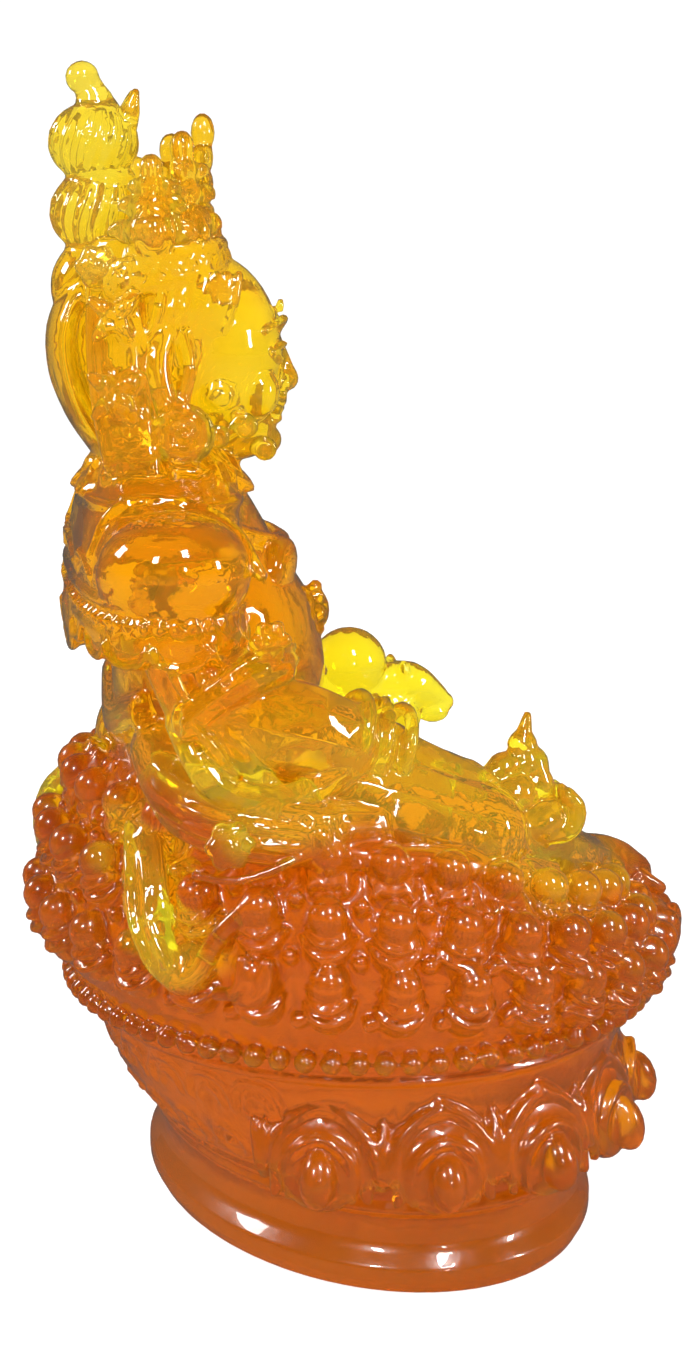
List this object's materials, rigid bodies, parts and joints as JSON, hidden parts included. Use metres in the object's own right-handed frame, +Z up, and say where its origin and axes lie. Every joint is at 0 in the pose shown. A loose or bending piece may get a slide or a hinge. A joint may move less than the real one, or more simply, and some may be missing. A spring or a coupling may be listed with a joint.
{
  "type": "buddha figurine",
  "caption": "Seated figure of a wealth deity in translucent amber resin, with crown, scarf and jewels, on a lotus throne over an oval plinth, cast in one",
  "frame": {"origin": "middle of the flat underside of the plinth", "axes": "+Z up, -Y the way the figure faces, -X the figure's right-hand side"},
  "size_m": [0.0871, 0.0861, 0.1457],
  "materials": {
    "amber_resin": "polished"
  },
  "bodies": {
    "root": {"figurine": "amber_resin"}
  },
  "joints": []
}
